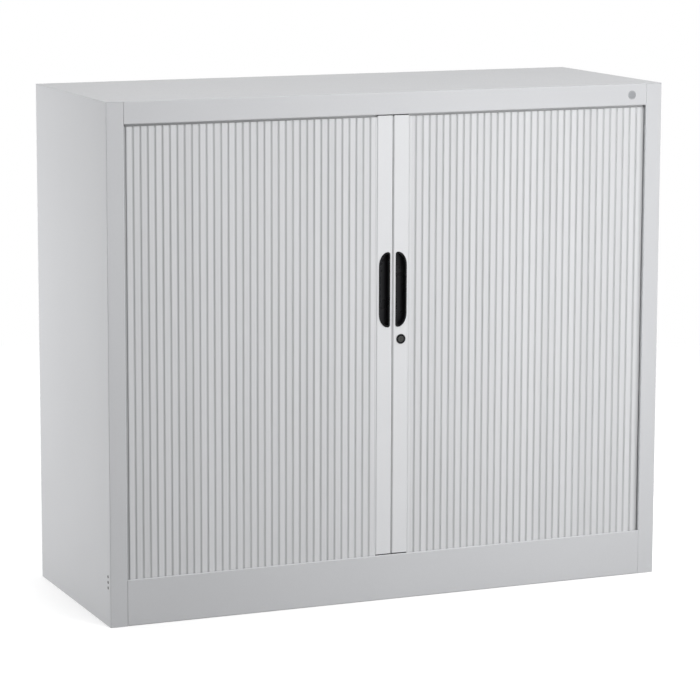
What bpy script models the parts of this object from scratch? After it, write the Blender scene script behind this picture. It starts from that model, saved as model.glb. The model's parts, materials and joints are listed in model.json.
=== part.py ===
"""Tambour door cabinet: a steel carcase with two slatted curtain doors that slide sideways.

Metres, +Z up. The front faces -Y, and the origin is the middle of the base at floor level.
"""

import math

import bmesh
import bpy
from mathutils import Matrix, Vector

# Overall size and sheet metal
WIDTH = 1.200
DEPTH = 0.450
HEIGHT = 1.030
SHEET = 0.0010
BEND_RADIUS = 0.0010
CLEARANCE = 0.0003
OVERRUN = 0.0020
BEND_STEPS = 3
SMOOTH_ANGLE = math.radians(30)

# Front frame
STILE_WIDTH = 0.036
RAIL_HEIGHT = 0.0445
PLINTH_HEIGHT = 0.093
LIP_DEPTH = 0.0023
REAR_RETURN = 0.020
TOP_REAR_FLANGE = 0.015
PLINTH_FOOT_DEPTH = 0.025
PLINTH_FOOT_UPTURN = 0.012
FLANGE = 0.020

# Weld dimples low on each side panel, near its front edge
WELD_RADIUS = 0.0020
WELD_DEPTH = 0.0004
WELD_INSET = 0.014
WELD_LOW = 0.0776
WELD_PITCH = 0.0112
WELD_COUNT = 3

# Curtain tracks
TRACK_INSET = 0.0070
TRACK_RADIUS = 0.0275
TRACK_GROOVE = 0.0064
TRACK_WALL = 0.0012
TRACK_FLOOR = 0.0020
TRACK_HEIGHT = 0.0120
TRACK_DROP = 0.0010
TRACK_REAR_RUN = 0.140
TRACK_STEPS = 6

# Curtains
SLAT_PITCH = 0.01505
CURTAIN_THICKNESS = 0.0046
CURTAIN_END_GAP = 0.0010
FRONT_SLATS = 35
TAIL_SLATS = 6
MAIN_GROOVE_WIDTH = 0.0026
MAIN_GROOVE_DEPTH = 0.0020
MID_GROOVE_WIDTH = 0.0014
MID_GROOVE_DEPTH = 0.0007

# Inner sheets
LINER_INSET = 0.016
FLOOR_RISE = 0.0010
FLOOR_TRACK_GAP = 0.0020
STRIP_WIDTH = 0.012

# Shelf slots, shelves and clips
SLOT_FIRST = 0.170
SLOT_PITCH = 0.050
SLOT_TOP_MARGIN = 0.060
SLOT_INSET = 0.075
SLOT_WIDTH = 0.0108
SLOT_HEIGHT = 0.0050
SHELF_SLOTS = {"lower": 4, "upper": 10}
SHELF_SIDE_GAP = 0.0030
SHELF_FRONT_INSET = 0.024
SHELF_REAR_GAP = 0.0020
SHELF_FLANGE = 0.025
SHELF_RETURN = 0.012
CLIP_SHEET = 0.0015
CLIP_WIDTH = 0.010
CLIP_LEDGE = 0.015
CLIP_HOOK = 0.008
CLIP_PLATE = 0.014

# Leading bars
SEAM_GAP = 0.0026
BAR_WIDTH = 0.0336
BAR_INSET = 0.0030
BAR_DEPTH = 0.018
BAR_WALL = 0.0012
BAR_LIP = 0.0060
BAR_END_GAP = 0.0018

# Guide blocks in the bars' ends
GUIDE_TONGUE = 0.0050
GUIDE_END_GAP = 0.0005
GUIDE_SIDE_GAP = 0.0005
GUIDE_PLUG = 0.018
GUIDE_PLUG_DEPTH = 0.0080

# Closing buffer on the left bar
BUFFER_THICKNESS = 0.0016
BUFFER_INSET = 0.0040
BUFFER_DEPTH = 0.0055
BUFFER_END_GAP = 0.0010

# Recessed grips
GRIP_Z = 0.635
GRIP_HEIGHT = 0.152
GRIP_WIDTH = 0.024
GRIP_END_WIDTH = 0.019
GRIP_END_HEIGHT = 0.028
GRIP_CORNER = 0.0045
GRIP_RIM = 0.0015
GRIP_RIM_THICKNESS = 0.0008
GRIP_WALL = 0.0015
GRIP_RECESS = 0.0120
GRIP_DRAFT = 0.0005
GRIP_END_STEPS = 7
GRIP_CORNER_STEPS = 3

# Lock in the right bar
LOCK_Z = 0.534
LOCK_FLANGE_RADIUS = 0.010
LOCK_FLANGE_THICKNESS = 0.0012
LOCK_FLANGE_CHAMFER = 0.0004
LOCK_BARREL_RADIUS = 0.0080
LOCK_BARREL_LENGTH = 0.0110
LOCK_BORE_RADIUS = 0.0060
LOCK_SIDES = 24
PLUG_FACE_RECESS = 0.0004
PLUG_RUNNING_GAP = 0.0003
KEYWAY_WIDTH = 0.0014
KEYWAY_LENGTH = 0.0070
KEYWAY_DEPTH = 0.0040
TAIL_RADIUS = 0.0030
TAIL_EXTRA = 0.0004
RING_NUT_RADIUS = 0.0115
RING_NUT_THICKNESS = 0.0030
CAM_THICKNESS = 0.0020
CAM_HALF_WIDTH = 0.0040
CAM_NECK_RISE = 0.0035
CAM_REACH = 0.0255
CAM_NOSE_RISE = 0.0090
CAM_NOSE_WIDTH = 0.0043
CAM_BACK = 0.0050
CAM_SLOT_WIDTH = 0.0040
CAM_SLOT_RISE = 0.0045
LATCH_SLOT_DROP = 0.0200
EXIT_SLOT_DROP = 0.0235
SCREW_HEAD_RADIUS = 0.0038
SCREW_HEAD_THICKNESS = 0.0016
SCREW_SHANK_RADIUS = 0.0014
SCREW_SHANK_LENGTH = 0.0040
SCREW_SIDES = 12

# Levelling feet
FOOT_SIDE_INSET = 0.070
FOOT_END_INSET = 0.060
STUD_RADIUS = 0.0050
STUD_TOP = 0.088
STUD_CHAMFER = 0.0008
STUD_SIDES = 16
SOCKET_RADIUS = 0.0028
SOCKET_DEPTH = 0.0050
PAD_RADIUS = 0.020
PAD_NECK_RADIUS = 0.011
PAD_HEIGHT = 0.010
PAD_EDGE = 0.0040
PAD_FLOOR_GAP = 0.0010
PAD_SOLE = 0.0030
NUT_RADIUS = 0.0098
NUT_HEIGHT = 0.0080
NUT_SIDES = 6
ACCESS_HOLE_RADIUS = 0.0070
CAP_RADIUS = 0.0090
CAP_THICKNESS = 0.0012
CAP_STEM = 0.0040

# Blank badge disc in the top rail
BADGE_INSET = 0.069
BADGE_DROP = 0.023
BADGE_RADIUS = 0.0070
BADGE_RIM = 0.0020
BADGE_RIM_THICKNESS = 0.0010
BADGE_SIDES = 24

# Derived places
FRONT = -DEPTH / 2
OPENING_TOP = HEIGHT - RAIL_HEIGHT
PANEL_TOP = HEIGHT - SHEET - CLEARANCE
SIDE_INNER = WIDTH / 2 - SHEET
OPENING_HALF = WIDTH / 2 - STILE_WIDTH
FRAME_HALF = OPENING_HALF - CLEARANCE
SHELL_HALF = SIDE_INNER - CLEARANCE
SHELL_REAR = DEPTH / 2 - 2 * SHEET - 2 * CLEARANCE
INNER_HALF = OPENING_HALF - SHEET - CLEARANCE

TRACK_LOW = PLINTH_HEIGHT - TRACK_DROP - TRACK_HEIGHT
TRACK_HIGH = OPENING_TOP + TRACK_DROP + TRACK_HEIGHT
PAN_TOP = TRACK_LOW - CLEARANCE
HEAD_UNDERSIDE = TRACK_HIGH + CLEARANCE
INNER_LOW = PAN_TOP + CLEARANCE
INNER_HIGH = HEAD_UNDERSIDE - CLEARANCE
FLOOR_TOP = PLINTH_HEIGHT + FLOOR_RISE

TRACK_Y = DEPTH / 2 - TRACK_INSET
TRACK_HALF = TRACK_GROOVE / 2 + TRACK_WALL
POCKET_X = (SIDE_INNER + OPENING_HALF) / 2
BEND_X = POCKET_X - TRACK_RADIUS

BAR_INNER = SEAM_GAP / 2
BAR_OUTER = BAR_INNER + BAR_WIDTH
BAR_MIDDLE = (BAR_INNER + BAR_OUTER) / 2
BAR_FRONT = FRONT + BAR_INSET
BAR_BACK = BAR_FRONT + BAR_DEPTH
BAR_LOW = PLINTH_HEIGHT + BAR_END_GAP
BAR_HIGH = OPENING_TOP - BAR_END_GAP
CURTAIN_START = BAR_OUTER + CLEARANCE
HALF_PITCH = SLAT_PITCH / 2

LINER_FRONT = FRONT + LINER_INSET
LINER_REAR = DEPTH / 2 - LINER_INSET
FLOOR_FRONT = -TRACK_Y + TRACK_HALF + FLOOR_TRACK_GAP
INNER_BACK_FRONT = LINER_REAR - SHEET
SLOT_Y = DEPTH / 2 - SLOT_INSET
SLOT_COUNT = int((INNER_HIGH - SLOT_TOP_MARGIN - SLOT_FIRST) / SLOT_PITCH) + 1

BADGE_X = WIDTH / 2 - BADGE_INSET
FOOT_X = WIDTH / 2 - FOOT_SIDE_INSET
FOOT_Y = DEPTH / 2 - FOOT_END_INSET

LOCK_FACE = BAR_FRONT - CLEARANCE - LOCK_FLANGE_THICKNESS
BARREL_END = BAR_FRONT - CLEARANCE + LOCK_BARREL_LENGTH
CAM_FRONT = BARREL_END + CLEARANCE
CAM_REAR = CAM_FRONT + CAM_THICKNESS
TAIL_END = CAM_REAR + TAIL_EXTRA
CAM_MIDDLE = (CAM_FRONT + CAM_REAR) / 2

CORNERS = {
    "front_left": (-1, -1),
    "front_right": (1, -1),
    "rear_left": (-1, 1),
    "rear_right": (1, 1),
}

# Finishes: colour, roughness, metallic
FINISHES = {
    "powder_coat": ((0.60, 0.61, 0.62, 1.0), 0.45, 0.0),
    "inner_coat": ((0.58, 0.59, 0.60, 1.0), 0.50, 0.0),
    "slat_plastic": ((0.62, 0.63, 0.64, 1.0), 0.42, 0.0),
    "bar_coat": ((0.61, 0.62, 0.63, 1.0), 0.40, 0.0),
    "grip_plastic": ((0.010, 0.010, 0.012, 1.0), 0.22, 0.0),
    "lock_black": ((0.012, 0.012, 0.013, 1.0), 0.30, 0.0),
    "nickel": ((0.62, 0.61, 0.58, 1.0), 0.25, 1.0),
    "zinc_steel": ((0.56, 0.57, 0.58, 1.0), 0.38, 1.0),
    "track_plastic": ((0.36, 0.37, 0.38, 1.0), 0.50, 0.0),
    "foot_plastic": ((0.030, 0.030, 0.032, 1.0), 0.55, 0.0),
    "buffer_rubber": ((0.30, 0.30, 0.31, 1.0), 0.75, 0.0),
    "badge_metal": ((0.55, 0.56, 0.58, 1.0), 0.30, 1.0),
}


def clear_objects():
    """Empty the scene."""
    for item in list(bpy.data.objects):
        bpy.data.objects.remove(item, do_unlink=True)


def finish(name):
    """Principled material for one finish."""
    found = bpy.data.materials.get(name)
    if found:
        return found
    colour, roughness, metallic = FINISHES[name]
    material = bpy.data.materials.new(name)
    material.use_nodes = True
    material.diffuse_color = colour
    shader = material.node_tree.nodes["Principled BSDF"]
    shader.inputs["Base Color"].default_value = colour
    shader.inputs["Roughness"].default_value = roughness
    shader.inputs["Metallic"].default_value = metallic
    return material


def pivot(name, place):
    """Empty on a joint's axis, which carries the pieces that move with it."""
    empty = bpy.data.objects.new(name, None)
    empty.location = place
    bpy.context.scene.collection.objects.link(empty)
    return empty


def add_piece(name, shape, finish_name, carrier=None):
    """Object for one piece, with its origin at its carrier's."""
    origin = carrier.location.copy() if carrier else Vector((0, 0, 0))
    bmesh.ops.translate(shape, verts=shape.verts, vec=-origin)
    mesh = bpy.data.meshes.new(name)
    shape.to_mesh(mesh)
    shape.free()
    mesh.materials.append(finish(finish_name))
    mesh.shade_smooth()
    mesh.set_sharp_from_angle(angle=SMOOTH_ANGLE)
    piece = bpy.data.objects.new(name, mesh)
    piece.parent = carrier
    bpy.context.scene.collection.objects.link(piece)
    return piece


def lifted(point, axis, height):
    """3-D point from a flat one and a height along an axis."""
    u, v = point
    places = {"X": (height, u, v), "Y": (u, height, v), "Z": (u, v, height)}
    return Vector(places[axis])


def loft(rings, closed=False):
    """Solid through rings of equally many points, capped at both ends unless it closes on itself."""
    shape = bmesh.new()
    loops = [[shape.verts.new(point) for point in ring] for ring in rings]
    pairs = list(zip(loops, loops[1:]))
    if closed:
        pairs.append((loops[-1], loops[0]))
    else:
        shape.faces.new(loops[0])
        shape.faces.new(loops[-1])
    for low, high in pairs:
        count = len(low)
        for index in range(count):
            after = (index + 1) % count
            shape.faces.new((low[index], low[after], high[after], high[index]))
    bmesh.ops.recalc_face_normals(shape, faces=shape.faces)
    if shape.calc_volume(signed=True) < 0:
        bmesh.ops.reverse_faces(shape, faces=shape.faces)
    return shape


def prism(outline, axis, low, high):
    """Solid with one outline along an axis."""
    return loft([[lifted(point, axis, place) for point in outline] for place in (low, high)])


def block(low, high):
    """Box between two corners."""
    outline = [(low[0], low[1]), (high[0], low[1]), (high[0], high[1]), (low[0], high[1])]
    return prism(outline, "Z", low[2], high[2])


def circle(radius, sides, height):
    """Ring of points about Z."""
    angles = [math.tau * index / sides for index in range(sides)]
    return [Vector((radius * math.cos(a), radius * math.sin(a), height)) for a in angles]


def turned(profile, sides, closed=False):
    """Solid turned about Z from radii and heights."""
    return loft([circle(radius, sides, height) for radius, height in profile], closed)


def clear_radius(radius, sides):
    """Corner radius of a many-sided hole whose flats clear a shaft."""
    return (radius + CLEARANCE) / math.cos(math.pi / sides)


def moved(shape, place):
    """Shape shifted to a place."""
    bmesh.ops.translate(shape, verts=shape.verts, vec=place)
    return shape


def faced_back(shape, place):
    """Shape built along +Z, turned to run along +Y from a place."""
    turn = Matrix.Rotation(-math.pi / 2, 3, "X")
    bmesh.ops.rotate(shape, verts=shape.verts, cent=(0, 0, 0), matrix=turn)
    return moved(shape, place)


def mirrored(shape):
    """Copy of a shape on the other side of the cabinet."""
    other = shape.copy()
    bmesh.ops.scale(other, verts=other.verts, vec=(-1, 1, 1))
    bmesh.ops.reverse_faces(other, faces=other.faces)
    return other


def joined(shapes):
    """One mesh that holds several separate shapes."""
    mesh = bpy.data.meshes.new("joined")
    whole = bmesh.new()
    for shape in shapes:
        shape.to_mesh(mesh)
        whole.from_mesh(mesh)
        shape.free()
    bpy.data.meshes.remove(mesh)
    return whole


def scene_object(name, shape):
    """Plain object that holds a shape while a cut is made."""
    mesh = bpy.data.meshes.new(name)
    shape.to_mesh(mesh)
    shape.free()
    item = bpy.data.objects.new(name, mesh)
    bpy.context.scene.collection.objects.link(item)
    return item


def carved(shape, cutters):
    """Shape less its cutters."""
    body = scene_object("body", shape)
    tool = scene_object("cutter", joined(cutters))
    cut = body.modifiers.new("cut", "BOOLEAN")
    cut.operation = "DIFFERENCE"
    cut.solver = "EXACT"
    cut.object = tool
    graph = bpy.context.evaluated_depsgraph_get()
    mesh = bpy.data.meshes.new_from_object(body.evaluated_get(graph))
    result = bmesh.new()
    result.from_mesh(mesh)
    bpy.data.objects.remove(tool, do_unlink=True)
    bpy.data.objects.remove(body, do_unlink=True)
    bpy.data.meshes.remove(mesh)
    return result


def left_of(direction):
    """Direction turned a quarter turn to the left."""
    return Vector((-direction.y, direction.x))


def offset_path(points, distance):
    """Open path moved to its left, with mitred corners."""
    points = [Vector(point) for point in points]
    runs = [(b - a).normalized() for a, b in zip(points, points[1:])]
    result = []
    for index, point in enumerate(points):
        before = runs[max(index - 1, 0)]
        after = runs[min(index, len(runs) - 1)]
        side = (left_of(before) + left_of(after)).normalized()
        result.append(point + side * (distance / side.dot(left_of(after))))
    return result


def rounded_path(points, radius, steps):
    """Open path whose corners are arcs of one radius."""
    points = [Vector(point) for point in points]
    result = [points[0]]
    for before, corner, after in zip(points, points[1:], points[2:]):
        inward = (before - corner).normalized()
        outward = (after - corner).normalized()
        half = inward.angle(outward) / 2
        middle = corner + (inward + outward).normalized() * (radius / math.sin(half))
        start = corner + inward * (radius / math.tan(half)) - middle
        end = corner + outward * (radius / math.tan(half)) - middle
        sweep = -start.angle_signed(end)
        for step in range(steps + 1):
            result.append(middle + Matrix.Rotation(sweep * step / steps, 2) @ start)
    result.append(points[-1])
    return result


def bent_sheet(skin, thickness=SHEET, bend=BEND_RADIUS):
    """Outline of folded sheet metal whose outer skin turns left at every fold."""
    outer = rounded_path(skin, bend + thickness, BEND_STEPS)
    inner = rounded_path(offset_path(skin, thickness), bend, BEND_STEPS)
    return outer + inner[::-1]


def both_sides(name, shape, finish_name, carriers=(None, None)):
    """Right piece and its mirrored left piece."""
    left_carrier, right_carrier = carriers
    other = mirrored(shape)
    add_piece(name + "_right", shape, finish_name, right_carrier)
    add_piece(name + "_left", other, finish_name, left_carrier)


def build_side_panels():
    """Side walls, each folded into a front stile with a lip and a rear return."""
    skin = [
        (OPENING_HALF, FRONT + LIP_DEPTH),
        (OPENING_HALF, FRONT),
        (WIDTH / 2, FRONT),
        (WIDTH / 2, -FRONT),
        (WIDTH / 2 - REAR_RETURN, -FRONT),
    ]
    panel = prism(bent_sheet(skin), "Z", 0, PANEL_TOP)
    dimples = []
    for index in range(WELD_COUNT):
        profile = [(WELD_RADIUS, -WELD_DEPTH), (WELD_RADIUS, OVERRUN)]
        dimple = turned(profile, SCREW_SIDES)
        turn = Matrix.Rotation(math.pi / 2, 3, "Y")
        bmesh.ops.rotate(dimple, verts=dimple.verts, cent=(0, 0, 0), matrix=turn)
        height = WELD_LOW + index * WELD_PITCH
        dimples.append(moved(dimple, (WIDTH / 2, FRONT + WELD_INSET, height)))
    both_sides("side_panel", carved(panel, dimples), "powder_coat")


def build_top_panel():
    """Top sheet folded down into the front rail and a rear flange."""
    skin = [
        (-FRONT, HEIGHT - TOP_REAR_FLANGE),
        (-FRONT, HEIGHT),
        (FRONT, HEIGHT),
        (FRONT, OPENING_TOP),
        (FRONT + LIP_DEPTH, OPENING_TOP),
    ]
    panel = prism(bent_sheet(skin), "X", -WIDTH / 2, WIDTH / 2)
    notches = []
    for side in (-1, 1):
        for inner, rear in ((FRAME_HALF, False), (WIDTH / 2 - REAR_RETURN - CLEARANCE, True)):
            ends = sorted((side * inner, side * (WIDTH / 2 + OVERRUN)))
            near = SHELL_REAR if rear else FRONT - OVERRUN
            far = -FRONT + OVERRUN if rear else FRONT + LIP_DEPTH + OVERRUN
            notches.append(block((ends[0], near, OPENING_TOP - OVERRUN), (ends[1], far, HEIGHT - SHEET)))
    radius = clear_radius(BADGE_RADIUS, BADGE_SIDES)
    badge = turned([(radius, -OVERRUN), (radius, OVERRUN)], BADGE_SIDES)
    notches.append(faced_back(badge, (BADGE_X, FRONT, HEIGHT - BADGE_DROP)))
    add_piece("top_panel", carved(panel, notches), "powder_coat")


def build_badge():
    """Blank round disc set flush in the top rail, held by a rim behind it."""
    profile = [
        (BADGE_RADIUS, 0),
        (BADGE_RADIUS, SHEET + CLEARANCE),
        (BADGE_RADIUS + BADGE_RIM, SHEET + CLEARANCE),
        (BADGE_RADIUS + BADGE_RIM, SHEET + CLEARANCE + BADGE_RIM_THICKNESS),
    ]
    disc = faced_back(turned(profile, BADGE_SIDES), (BADGE_X, FRONT, HEIGHT - BADGE_DROP))
    add_piece("badge_disc", disc, "badge_metal")


def build_plinth():
    """Plinth panel between the stiles, folded back along the floor."""
    skin = [
        (FRONT + LIP_DEPTH, PLINTH_HEIGHT),
        (FRONT, PLINTH_HEIGHT),
        (FRONT, 0),
        (FRONT + PLINTH_FOOT_DEPTH, 0),
        (FRONT + PLINTH_FOOT_DEPTH, PLINTH_FOOT_UPTURN),
    ]
    add_piece("plinth_front", prism(bent_sheet(skin), "X", -FRAME_HALF, FRAME_HALF), "powder_coat")


def build_shell():
    """Base pan, head panel and outer back, which tie the side panels together."""
    front = FRONT + LIP_DEPTH + CLEARANCE
    pan = [
        (SHELL_REAR, PAN_TOP - FLANGE),
        (SHELL_REAR, PAN_TOP),
        (front, PAN_TOP),
        (front, PAN_TOP - FLANGE),
    ]
    holes = []
    for side, end in CORNERS.values():
        radius = clear_radius(STUD_RADIUS, STUD_SIDES)
        hole = turned([(radius, PAN_TOP - SHEET - OVERRUN), (radius, PAN_TOP + OVERRUN)], STUD_SIDES)
        holes.append(moved(hole, (side * FOOT_X, end * FOOT_Y, 0)))
    sheet = prism(bent_sheet(pan), "X", -SHELL_HALF, SHELL_HALF)
    add_piece("base_pan", carved(sheet, holes), "inner_coat")
    head = [
        (front, PANEL_TOP),
        (front, HEAD_UNDERSIDE),
        (SHELL_REAR, HEAD_UNDERSIDE),
        (SHELL_REAR, PANEL_TOP),
    ]
    add_piece("head_panel", prism(bent_sheet(head), "X", -SHELL_HALF, SHELL_HALF), "inner_coat")
    back_front = SHELL_REAR + CLEARANCE
    half = SIDE_INNER - BEND_RADIUS
    top = HEIGHT - SHEET - BEND_RADIUS
    back = block((-half, back_front, CLEARANCE), (half, back_front + SHEET, top))
    add_piece("back_panel", back, "powder_coat")


def build_liners():
    """Inner side walls with two columns of shelf slots, and the inner back between them."""
    inside = OPENING_HALF - SHEET
    liner = block((inside, LINER_FRONT, INNER_LOW), (OPENING_HALF, LINER_REAR, INNER_HIGH))
    slots = []
    for middle in (-SLOT_Y, SLOT_Y):
        for index in range(SLOT_COUNT):
            height = SLOT_FIRST + index * SLOT_PITCH
            low = (inside - OVERRUN, middle - SLOT_WIDTH / 2, height - SLOT_HEIGHT / 2)
            high = (OPENING_HALF + OVERRUN, middle + SLOT_WIDTH / 2, height + SLOT_HEIGHT / 2)
            slots.append(block(low, high))
    both_sides("liner", carved(liner, slots), "inner_coat")
    back = block((-INNER_HALF, INNER_BACK_FRONT, INNER_LOW), (INNER_HALF, LINER_REAR, INNER_HIGH))
    add_piece("inner_back", back, "inner_coat")


def build_floor():
    """Flat raised floor on two strips behind the lower tracks, with a capped hole above each levelling stud."""
    rear = INNER_BACK_FRONT - CLEARANCE
    underside = FLOOR_TOP - SHEET
    strip_top = underside - CLEARANCE
    for end, front in {"front": FLOOR_FRONT, "rear": rear - STRIP_WIDTH}.items():
        strip = block((-INNER_HALF, front, INNER_LOW), (INNER_HALF, front + STRIP_WIDTH, strip_top))
        add_piece("floor_strip_" + end, strip, "track_plastic")
    holes = []
    radius = clear_radius(ACCESS_HOLE_RADIUS, STUD_SIDES)
    for corner, (side, end) in CORNERS.items():
        hole = turned([(radius, underside - OVERRUN), (radius, FLOOR_TOP + OVERRUN)], STUD_SIDES)
        place = (side * FOOT_X, end * FOOT_Y, 0)
        holes.append(moved(hole, place))
        seat = FLOOR_TOP + CLEARANCE
        profile = [
            (ACCESS_HOLE_RADIUS, seat - CAP_STEM),
            (ACCESS_HOLE_RADIUS, seat),
            (CAP_RADIUS, seat),
            (CAP_RADIUS, seat + CAP_THICKNESS / 2),
            (CAP_RADIUS - CAP_THICKNESS / 2, seat + CAP_THICKNESS),
        ]
        add_piece("access_cap_" + corner, moved(turned(profile, STUD_SIDES), place), "track_plastic")
    sheet = block((-INNER_HALF, FLOOR_FRONT, underside), (INNER_HALF, rear, FLOOR_TOP))
    add_piece("floor_panel", carved(sheet, holes), "inner_coat")


def swept(section, path):
    """Solid with a section of offsets and heights carried along a level path."""
    lines = [offset_path(path, offset) for offset, height in section]
    rings = []
    for index in range(len(path)):
        rings.append([Vector((*line[index], height)) for line, (offset, height) in zip(lines, section)])
    return loft(rings)


def build_tracks():
    """Grooved tracks from the seam to the front corner, along the pocket and behind the inner back."""
    corners = [
        (CLEARANCE, -TRACK_Y),
        (POCKET_X, -TRACK_Y),
        (POCKET_X, TRACK_Y),
        (BEND_X - TRACK_REAR_RUN, TRACK_Y),
    ]
    path = rounded_path(corners, TRACK_RADIUS, TRACK_STEPS)
    for name, base, mouth in (("lower_track", TRACK_LOW, 1), ("upper_track", TRACK_HIGH, -1)):
        rim = base + mouth * TRACK_HEIGHT
        floor = base + mouth * TRACK_FLOOR
        section = [
            (-TRACK_HALF, base),
            (TRACK_HALF, base),
            (TRACK_HALF, rim),
            (TRACK_GROOVE / 2, rim),
            (TRACK_GROOVE / 2, floor),
            (-TRACK_GROOVE / 2, floor),
            (-TRACK_GROOVE / 2, rim),
            (-TRACK_HALF, rim),
        ]
        both_sides(name, swept(section, path), "track_plastic")


def track_point(distance, height):
    """Point at a distance along the curtain's middle and a height out of its face."""
    straight = BEND_X - CURTAIN_START
    arc = TRACK_RADIUS * math.pi / 2
    angle = min(max((distance - straight) / TRACK_RADIUS, 0), math.pi / 2)
    outward = Vector((math.sin(angle), -math.cos(angle)))
    along = left_of(outward)
    beyond = distance - straight
    if beyond > 0:
        beyond = max(beyond - arc, 0)
    middle = Vector((BEND_X, TRACK_RADIUS - TRACK_Y))
    return middle + outward * (TRACK_RADIUS + height) + along * beyond


def build_curtains(carriers):
    """Curtains of ribbed slats, from the leading bars round the front corners into the pockets."""
    halves = 2 * (FRONT_SLATS + TAIL_SLATS)
    face = CURTAIN_THICKNESS / 2
    outer = [track_point(0, face)]
    inner = [track_point(0, -face)]
    for index in range(1, halves + 1):
        hinge = index * HALF_PITCH
        inner.append(track_point(hinge, -face))
        if index == halves:
            outer.append(track_point(hinge, face))
            continue
        mid = index % 2
        width = MID_GROOVE_WIDTH if mid else MAIN_GROOVE_WIDTH
        depth = MID_GROOVE_DEPTH if mid else MAIN_GROOVE_DEPTH
        outer.append(track_point(hinge - width / 2, face))
        outer.append(track_point(hinge, face - depth))
        outer.append(track_point(hinge + width / 2, face))
    low = TRACK_LOW + TRACK_FLOOR + CURTAIN_END_GAP
    high = TRACK_HIGH - TRACK_FLOOR - CURTAIN_END_GAP
    both_sides("curtain", prism(outer + inner[::-1], "Z", low, high), "slat_plastic", carriers)


def grip_outline(inset, depth):
    """Half-moon ring of the grip: a straight edge near the seam, elliptic ends away from it."""
    half_width = GRIP_WIDTH / 2 - inset
    half_height = GRIP_HEIGHT / 2 - inset
    wide = GRIP_END_WIDTH - inset
    tall = GRIP_END_HEIGHT - inset
    corner = GRIP_CORNER - inset
    points = []
    for step in range(GRIP_END_STEPS + 1):
        angle = math.pi / 2 * step / GRIP_END_STEPS
        right = half_width - wide + wide * math.cos(angle)
        points.append((right, half_height - tall + tall * math.sin(angle)))
    for step in range(GRIP_CORNER_STEPS + 1):
        angle = math.pi / 2 * (1 + step / GRIP_CORNER_STEPS)
        left = corner - half_width + corner * math.cos(angle)
        points.append((left, half_height - corner + corner * math.sin(angle)))
    points += [(u, -v) for u, v in points[::-1]]
    return [lifted((BAR_MIDDLE + u, GRIP_Z + v), "Y", depth) for u, v in points]


def build_grips(carriers):
    """Recessed finger grips with a thin rim over the bar's face."""
    seat = BAR_FRONT - CLEARANCE
    face = seat - GRIP_RIM_THICKNESS
    hollow = GRIP_RIM + GRIP_WALL
    recess_floor = BAR_FRONT + GRIP_RECESS
    rings = [
        grip_outline(hollow + GRIP_DRAFT, recess_floor),
        grip_outline(hollow, face),
        grip_outline(0, face),
        grip_outline(0, seat),
        grip_outline(GRIP_RIM, seat),
        grip_outline(GRIP_RIM + GRIP_DRAFT, recess_floor + GRIP_WALL),
    ]
    both_sides("grip", loft(rings), "grip_plastic", carriers)


def build_bars(left_door, right_door):
    """Leading bars: channels open to the back, cut for the grips, the lock and its cam."""
    skin = [
        (BAR_INNER + BAR_LIP, BAR_BACK),
        (BAR_INNER, BAR_BACK),
        (BAR_INNER, BAR_FRONT),
        (BAR_OUTER, BAR_FRONT),
        (BAR_OUTER, BAR_BACK),
        (BAR_OUTER - BAR_LIP, BAR_BACK),
    ]
    channel = prism(bent_sheet(skin, BAR_WALL), "Z", BAR_LOW, BAR_HIGH)
    hole_inset = GRIP_RIM - CLEARANCE
    front, rear = BAR_FRONT - OVERRUN, BAR_FRONT + BAR_WALL + OVERRUN
    window = loft([grip_outline(hole_inset, front), grip_outline(hole_inset, rear)])
    bar = carved(channel, [window])

    def wall_slot(drop):
        """Slot through the wall at the seam for the hook cam."""
        low = (BAR_INNER - BAR_WALL / 2, CAM_MIDDLE - CAM_SLOT_WIDTH / 2, LOCK_Z - drop)
        high = (BAR_INNER + BAR_WALL + OVERRUN, CAM_MIDDLE + CAM_SLOT_WIDTH / 2, LOCK_Z + CAM_SLOT_RISE)
        return block(low, high)

    other = mirrored(carved(bar.copy(), [wall_slot(LATCH_SLOT_DROP)]))
    radius = clear_radius(LOCK_BARREL_RADIUS, LOCK_SIDES)
    bore = turned([(radius, -OVERRUN), (radius, BAR_WALL + OVERRUN)], LOCK_SIDES)
    bore = faced_back(bore, (BAR_MIDDLE, BAR_FRONT, LOCK_Z))
    add_piece("leading_bar_right", carved(bar, [bore, wall_slot(EXIT_SLOT_DROP)]), "bar_coat", right_door)
    add_piece("leading_bar_left", other, "bar_coat", left_door)


def build_guides(carriers):
    """Guide blocks that plug into the bars' ends and run in the tracks' grooves."""
    tongue_front = -TRACK_Y - GUIDE_TONGUE / 2
    tongue_rear = -TRACK_Y + GUIDE_TONGUE / 2
    plug_rear = tongue_front + GUIDE_PLUG_DEPTH
    inner = BAR_INNER + BAR_WALL + GUIDE_SIDE_GAP
    outer = BAR_OUTER - BAR_WALL - GUIDE_SIDE_GAP
    ends = (
        ("lower_guide", TRACK_LOW + TRACK_FLOOR + GUIDE_END_GAP, BAR_LOW, 1),
        ("upper_guide", TRACK_HIGH - TRACK_FLOOR - GUIDE_END_GAP, BAR_HIGH, -1),
    )
    for name, tip, bar_end, inward in ends:
        plug_end = bar_end + inward * GUIDE_PLUG
        outline = [
            (tongue_front, tip),
            (tongue_rear, tip),
            (tongue_rear, bar_end),
            (plug_rear, bar_end),
            (plug_rear, plug_end),
            (tongue_front, plug_end),
        ]
        both_sides(name, prism(outline, "X", inner, outer), "foot_plastic", carriers)


def build_buffer(left_door):
    """Soft strip on the left bar that meets the right bar."""
    right = -BAR_INNER + CLEARANCE + BUFFER_THICKNESS
    front = BAR_FRONT + BUFFER_INSET
    low = (-BAR_INNER + CLEARANCE, front, BAR_LOW + BUFFER_END_GAP)
    high = (right, front + BUFFER_DEPTH, BAR_HIGH - BUFFER_END_GAP)
    add_piece("closing_buffer", block(low, high), "buffer_rubber", left_door)


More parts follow.
